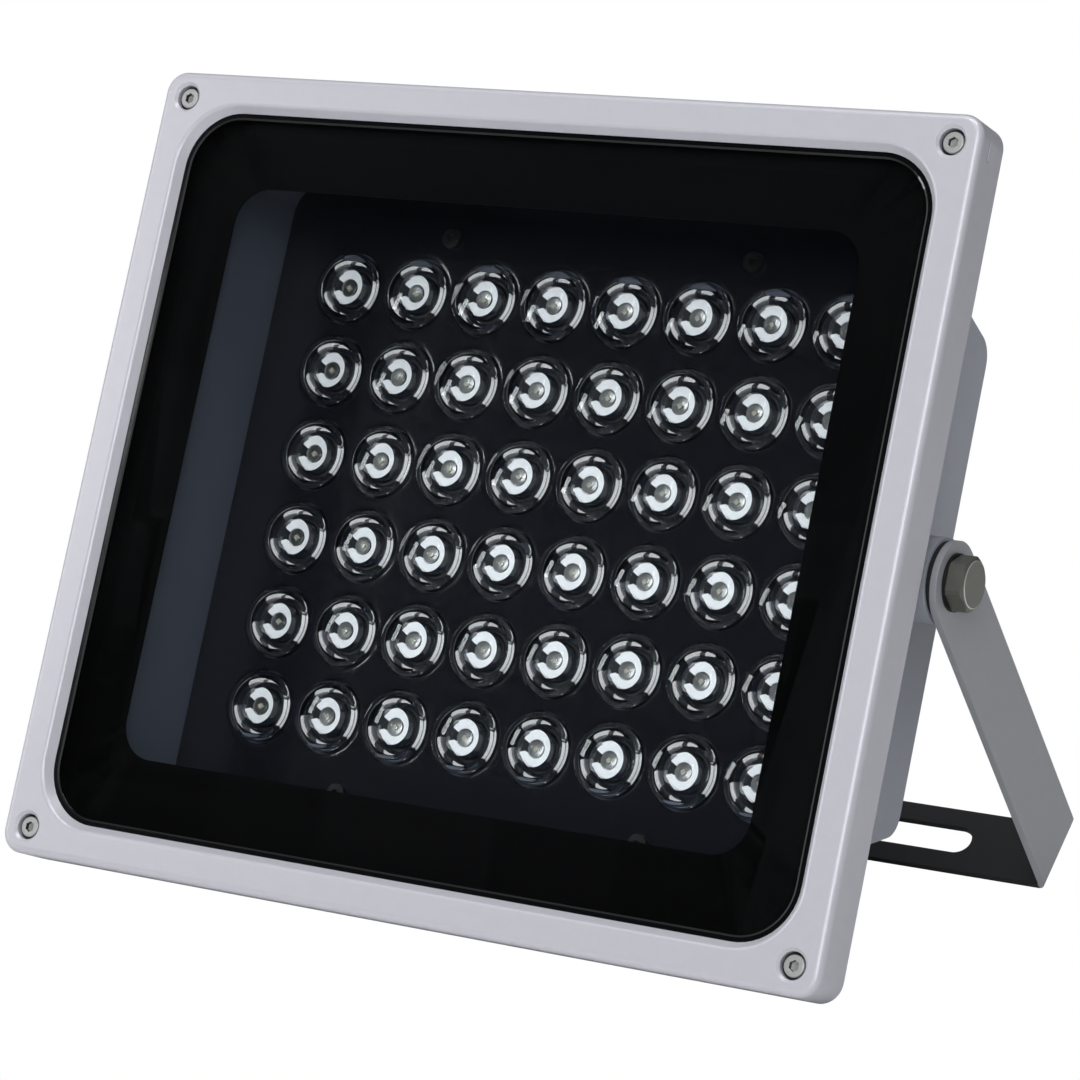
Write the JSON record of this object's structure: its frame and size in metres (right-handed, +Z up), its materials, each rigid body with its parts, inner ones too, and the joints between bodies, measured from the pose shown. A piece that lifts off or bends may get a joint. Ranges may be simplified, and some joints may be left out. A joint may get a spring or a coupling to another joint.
{
  "type": "led flood light",
  "caption": "Rectangular LED flood light with a grey metal frame, lenses behind glass and a finned back, on a tilting bracket.",
  "frame": {"origin": "centre of the bounding box in plan, at the floor that the frame's lower edge and the bracket's lower edge stand on", "axes": "+X to the light's right as seen from its front, along the pivots; -Y to the front, where the glass faces; +Z up. The head is stored leaning 22 degrees back from upright, as pictured."},
  "size_m": [0.2604, 0.1474, 0.2083],
  "materials": {
    "bezel_paint": "satin fine-textured light grey paint",
    "housing_paint": "satin grey paint on a die casting",
    "bracket_paint": "satin grey paint on folded sheet",
    "window_glass": "clear toughened glass",
    "black_print": "black ceramic print fired on the glass",
    "seal_rubber": "matt black silicone",
    "black_sheet": "matt black paint on sheet",
    "board_metal": "white solder mask on aluminium",
    "thermal_pad": "soft grey silicone pad",
    "lens_acrylic": "clear polished acrylic",
    "emitter_ceramic": "white ceramic with a pale yellow phosphor",
    "screw_steel": "bright steel",
    "bolt_steel": "dark nickel-plated steel",
    "driver_plastic": "white moulded case",
    "terminal_plastic": "off-white nylon",
    "wire_cover": "red silicone insulation",
    "gland_plastic": "black nylon"
  },
  "bodies": {
    "bracket": {"bracket": "bracket_paint"},
    "head": {"front_bezel": "bezel_paint", "window_glass": "window_glass", "glass_border": "black_print", "window_gasket": "seal_rubber", "rear_housing": "housing_paint", "led_cover_plate": "black_sheet", "led_board": "board_metal", "thermal_pad": "thermal_pad", "led_lenses": "lens_acrylic", "led_emitters": "emitter_ceramic", "bezel_screws": "screw_steel", "plate_screws": "screw_steel", "board_screws": "screw_steel", "driver_screws": "screw_steel", "driver_case": "driver_plastic", "terminal_block": "terminal_plastic", "supply_wires": "wire_cover", "output_wires": "wire_cover", "gland_seal": "seal_rubber", "gland_body": "gland_plastic", "gland_cap": "gland_plastic", "gland_nut": "gland_plastic", "friction_washer_right": "seal_rubber", "friction_washer_left": "seal_rubber", "lock_washer_right": "bolt_steel", "lock_washer_left": "bolt_steel", "pivot_bolt_right": "bolt_steel", "pivot_bolt_left": "bolt_steel"}
  },
  "joints": [
    {"name": "tilt", "type": "hinge", "parent": "bracket", "child": "head", "pos_m": [0, -0.00287, 0.09366], "axis": [1, 0, 0], "range_deg": [-120, 60]}
  ]
}
